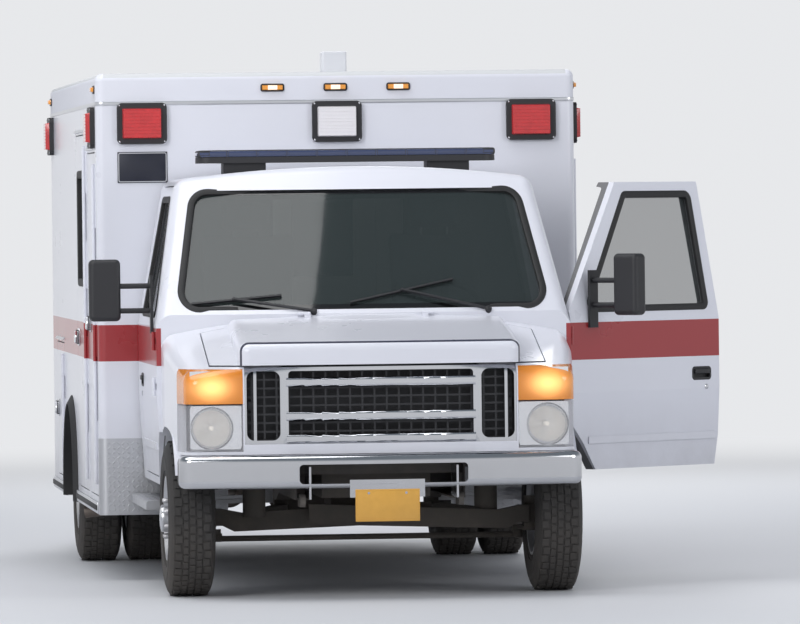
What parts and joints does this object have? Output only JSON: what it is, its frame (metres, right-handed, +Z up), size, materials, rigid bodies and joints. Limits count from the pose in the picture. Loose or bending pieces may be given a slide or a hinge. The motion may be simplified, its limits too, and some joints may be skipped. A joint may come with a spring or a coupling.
{
  "type": "ambulance",
  "caption": "Box-bodied ambulance on a van cutaway chassis, driver's door open, with opening doors, lockers and hood, and steered, rolling wheels.",
  "frame": {"origin": "on the ground under the middle of the whole object's box, driver's door open", "axes": "+Y rearwards, +X to the driver's side, +Z up"},
  "size_m": [3.1633, 6.8698, 2.6429],
  "materials": {
    "white_paint": "gloss",
    "chassis_black": "satin",
    "cast": "rough",
    "aluminium": "brushed",
    "glass": "gloss",
    "chrome": "polished",
    "tyre": "matt",
    "rim": "satin",
    "black_plastic": "matt",
    "grey_plastic": "matt",
    "seat": "woven",
    "lamp_clear": "gloss",
    "lamp_red": "gloss",
    "lamp_amber": "gloss",
    "cabinet": "satin"
  },
  "bodies": {
    "chassis": {"frame_rails": "chassis_black", "front_axle": "cast", "rear_axle": "cast", "drive_shaft": "cast", "engine": "cast", "fuel_tank": "chassis_black", "exhaust": "cast", "cab_shell": "white_paint", "windshield": "glass", "fenders": "white_paint", "headlamps": "lamp_clear", "radiator_support": "black_plastic", "grille": "chrome", "front_bumper": "chrome", "dashboard": "grey_plastic", "seats": "seat", "light_bar": "black_plastic", "running_boards": "aluminium", "box_floor": "aluminium", "box_roof": "white_paint", "box_front_wall": "white_paint", "box_left_wall": "white_paint", "box_right_wall": "white_paint", "box_rear_frame": "white_paint", "box_interior": "cabinet", "warning_lamps": "lamp_red", "marker_lamps": "lamp_amber", "rear_lamps": "lamp_red", "rear_step": "aluminium", "roof_emitter": "grey_plastic"},
    "hood": {"hood": "white_paint"},
    "left_door": {"left_door": "white_paint", "left_door_glass": "glass", "left_mirror": "black_plastic"},
    "right_door": {"right_door": "white_paint", "right_door_glass": "glass", "right_mirror": "black_plastic"},
    "entry_door": {"entry_door": "white_paint", "entry_glass": "glass"},
    "rear_door_left": {"rear_door_left": "white_paint", "rear_glass_left": "glass"},
    "rear_door_right": {"rear_door_right": "white_paint", "rear_glass_right": "glass"},
    "knuckle_left": {"knuckle_left": "cast"},
    "knuckle_right": {"knuckle_right": "cast"},
    "tie_rod": {"tie_rod": "cast"},
    "front_wheel_left": {"front_left_tyre": "tyre", "front_left_rim": "rim"},
    "front_wheel_right": {"front_right_tyre": "tyre", "front_right_rim": "rim"},
    "rear_wheels_left": {"rear_left_tyres": "tyre", "rear_left_rims": "rim"},
    "rear_wheels_right": {"rear_right_tyres": "tyre", "rear_right_rims": "rim"},
    "left_front_locker_door": {"left_front_locker_door": "white_paint"},
    "left_middle_locker_door": {"left_middle_locker_door": "white_paint"},
    "left_rear_locker_door": {"left_rear_locker_door": "white_paint"},
    "right_front_locker_door": {"right_front_locker_door": "white_paint"},
    "right_rear_locker_door": {"right_rear_locker_door": "white_paint"}
  },
  "joints": [
    {"name": "hood_lift", "type": "hinge", "parent": "chassis", "child": "hood", "pos_m": [-0.26253, -2.596, 1.345], "axis": [-1, 0, 0], "range_deg": [0, 50]},
    {"name": "left_door_swing", "type": "hinge", "parent": "chassis", "child": "left_door", "pos_m": [0.75647, -2.438, 1.2], "axis": [0, 0, 1], "range_deg": [-19.5, 48.5]},
    {"name": "right_door_swing", "type": "hinge", "parent": "chassis", "child": "right_door", "pos_m": [-1.28153, -2.438, 1.2], "axis": [0, 0, 1], "range_deg": [0, 68]},
    {"name": "entry_door_swing", "type": "hinge", "parent": "chassis", "child": "entry_door", "pos_m": [-1.47953, -0.182, 1.2], "axis": [0, 0, 1], "range_deg": [0, 100]},
    {"name": "rear_door_left_swing", "type": "hinge", "parent": "chassis", "child": "rear_door_left", "pos_m": [0.33447, 3.146, 1.5], "axis": [0, 0, -1], "range_deg": [0, 110]},
    {"name": "rear_door_right_swing", "type": "hinge", "parent": "chassis", "child": "rear_door_right", "pos_m": [-0.85953, 3.146, 1.5], "axis": [0, 0, 1], "range_deg": [0, 110]},
    {"name": "left_front_locker_swing", "type": "hinge", "parent": "chassis", "child": "left_front_locker_door", "pos_m": [0.95447, -0.982, 1.285], "axis": [0, 0, -1], "range_deg": [0, 100]},
    {"name": "left_middle_locker_swing", "type": "hinge", "parent": "chassis", "child": "left_middle_locker_door", "pos_m": [0.95447, -0.182, 0.835], "axis": [0, 0, -1], "range_deg": [0, 100]},
    {"name": "left_rear_locker_swing", "type": "hinge", "parent": "chassis", "child": "left_rear_locker_door", "pos_m": [0.95447, 1.988, 0.96], "axis": [0, 0, -1], "range_deg": [0, 100]},
    {"name": "right_front_locker_swing", "type": "hinge", "parent": "chassis", "child": "right_front_locker_door", "pos_m": [-1.47953, -0.982, 1.285], "axis": [0, 0, 1], "range_deg": [0, 100]},
    {"name": "right_rear_locker_swing", "type": "hinge", "parent": "chassis", "child": "right_rear_locker_door", "pos_m": [-1.47953, 1.988, 0.785], "axis": [0, 0, 1], "range_deg": [0, 100]},
    {"name": "steer_left", "type": "hinge", "parent": "chassis", "child": "knuckle_left", "pos_m": [0.51247, -2.69, 0.372], "axis": [0, 0, 1], "range_deg": [-32, 32]},
    {"name": "steer_right", "type": "hinge", "parent": "chassis", "child": "knuckle_right", "pos_m": [-1.03753, -2.69, 0.372], "axis": [0, 0, 1], "range_deg": [-33, 33]},
    {"name": "tie_rod_slide", "type": "slide", "parent": "chassis", "child": "tie_rod", "axis": [1, 0, 0], "range_m": [-0.1, 0.1]},
    {"name": "front_wheel_left_spin", "type": "hinge", "parent": "knuckle_left", "child": "front_wheel_left", "pos_m": [0.61847, -2.69, 0.372], "axis": [1, 0, 0], "continuous": true},
    {"name": "front_wheel_right_spin", "type": "hinge", "parent": "knuckle_right", "child": "front_wheel_right", "pos_m": [-1.14353, -2.69, 0.372], "axis": [1, 0, 0], "continuous": true},
    {"name": "rear_wheels_left_spin", "type": "hinge", "parent": "chassis", "child": "rear_wheels_left", "pos_m": [0.68747, 1.323, 0.372], "axis": [1, 0, 0], "continuous": true},
    {"name": "rear_wheels_right_spin", "type": "hinge", "parent": "chassis", "child": "rear_wheels_right", "pos_m": [-1.21253, 1.323, 0.372], "axis": [1, 0, 0], "continuous": true}
  ],
  "couplings": [
    {"joint": "steer_right", "follows": "steer_left", "ratio": 1},
    {"joint": "tie_rod_slide", "follows": "steer_left", "m_per_rad": -0.16}
  ]
}
